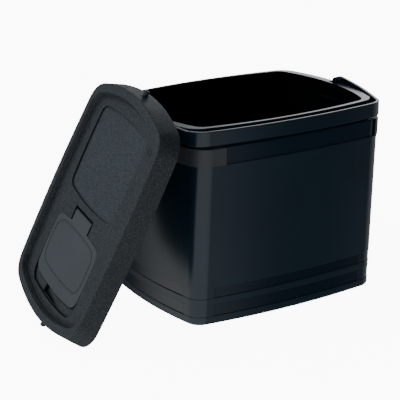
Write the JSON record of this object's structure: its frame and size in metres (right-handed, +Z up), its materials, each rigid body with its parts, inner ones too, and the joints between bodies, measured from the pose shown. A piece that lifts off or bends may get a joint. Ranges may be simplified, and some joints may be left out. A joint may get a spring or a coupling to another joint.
{
  "type": "lidded waste bin",
  "caption": "Tapered rectangular kitchen waste bin with a fold-down strap handle, standing beside its loose lid, which has a hinged hatch over a charcoal filter.",
  "frame": {"origin": "centre of the bin's base, on the floor", "axes": "+X along the bin's long sides, towards the end away from the lid; -Y to the front, where the folded handle lies; +Z up"},
  "size_m": [0.5386, 0.3097, 0.3409],
  "materials": {
    "bin_plastic": "gloss",
    "handle_plastic": "satin",
    "lid_plastic": "spark-textured matt",
    "hatch_plastic": "fine satin",
    "pin_plastic": "satin",
    "pin_steel": "drawn",
    "seal_rubber": "matt",
    "cassette_plastic": "satin",
    "charcoal_foam": "open foam"
  },
  "bodies": {
    "bin": {"bin_body": "bin_plastic", "handle_pin_left": "pin_plastic", "handle_pin_right": "pin_plastic"},
    "handle": {"handle_strap": "handle_plastic"},
    "lid": {"lid_shell": "lid_plastic", "lid_end_pin_upper": "pin_plastic", "lid_end_pin_lower": "pin_plastic", "lid_seal": "seal_rubber", "hatch_hinge_pin": "pin_steel", "filter_cassette": "cassette_plastic", "charcoal_pad": "charcoal_foam"},
    "hatch": {"filter_hatch": "hatch_plastic"}
  },
  "joints": [
    {"name": "handle_swing", "type": "hinge", "parent": "bin", "child": "handle", "pos_m": [0, 0, 0.29], "axis": [-1, 0, 0], "range_deg": [0, 180]},
    {"name": "lid_lift", "type": "slide", "parent": "bin", "child": "lid", "axis": [0, 0, 1], "range_m": [0, 0.4]},
    {"name": "hatch_swing", "type": "hinge", "parent": "lid", "child": "hatch", "pos_m": [-0.27671, -0.01671, 0.15726], "axis": [0.1264, 0.9847, 0.1196], "range_deg": [0, 100]}
  ]
}
